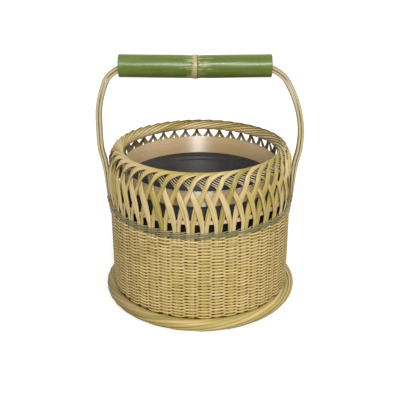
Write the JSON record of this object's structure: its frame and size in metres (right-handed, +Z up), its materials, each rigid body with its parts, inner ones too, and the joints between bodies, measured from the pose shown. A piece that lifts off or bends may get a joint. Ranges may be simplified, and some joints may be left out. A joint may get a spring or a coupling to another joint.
{
  "type": "bamboo hand warmer basket",
  "caption": "Round woven bamboo basket with a rolled openwork rim, a deep fire pot inside, and a fixed bow handle with a loose green bamboo grip.",
  "frame": {"origin": "on the ground, at the vertical axis of the basket", "axes": "+Z up, X along the grip, so that the handle's bow lies in the XZ plane; -Y is the side seen in the picture"},
  "size_m": [0.2585, 0.2504, 0.31],
  "materials": {
    "foot_wrap": "semi-gloss split bamboo skin",
    "weave": "fine split bamboo, satin",
    "twining": "grey-green split bamboo, satin",
    "collar_strip": "shaved bamboo strip, satin",
    "hoop": "thin bamboo hoop, satin",
    "band": "wide bamboo hoop, smooth and waxed",
    "pot": "dark grey, dull",
    "splint": "bent bamboo splint with olive skin",
    "green_culm": "green bamboo skin, glossy"
  },
  "bodies": {
    "basket": {"foot_ring": "foot_wrap", "base_mat": "weave", "woven_body": "weave", "twining_row_1": "twining", "twining_row_2": "twining", "twining_row_3": "twining", "rim_strip_01": "collar_strip", "rim_strip_02": "collar_strip", "rim_strip_03": "collar_strip", "rim_strip_04": "collar_strip", "rim_strip_05": "collar_strip", "rim_strip_06": "collar_strip", "rim_strip_07": "collar_strip", "rim_strip_08": "collar_strip", "rim_strip_09": "collar_strip", "rim_strip_10": "collar_strip", "rim_strip_11": "collar_strip", "rim_strip_12": "collar_strip", "rim_strip_13": "collar_strip", "rim_strip_14": "collar_strip", "rim_strip_15": "collar_strip", "rim_strip_16": "collar_strip", "rim_strip_17": "collar_strip", "rim_strip_18": "collar_strip", "rim_strip_19": "collar_strip", "rim_strip_20": "collar_strip", "rim_strip_21": "collar_strip", "rim_strip_22": "collar_strip", "rim_strip_23": "collar_strip", "rim_strip_24": "collar_strip", "rim_strip_25": "collar_strip", "rim_strip_26": "collar_strip", "rim_strip_27": "collar_strip", "rim_strip_28": "collar_strip", "rim_strip_29": "collar_strip", "rim_strip_30": "collar_strip", "rim_strip_31": "collar_strip", "rim_strip_32": "collar_strip", "rim_strip_33": "collar_strip", "rim_strip_34": "collar_strip", "rim_strip_35": "collar_strip", "rim_strip_36": "collar_strip", "rim_strip_37": "collar_strip", "rim_strip_38": "collar_strip", "rim_strip_39": "collar_strip", "rim_strip_40": "collar_strip", "rim_strip_41": "collar_strip", "rim_strip_42": "collar_strip", "rim_strip_43": "collar_strip", "rim_strip_44": "collar_strip", "support_hoop": "hoop", "fire_pot": "pot", "inner_band": "band", "handle_splint_outer": "splint", "handle_splint_inner": "splint"},
    "grip": {"grip_culm": "green_culm"}
  },
  "joints": [
    {"name": "grip_roll", "type": "hinge", "parent": "basket", "child": "grip", "pos_m": [-0.006, 0, 0.2956], "axis": [1, 0, 0], "continuous": true}
  ]
}
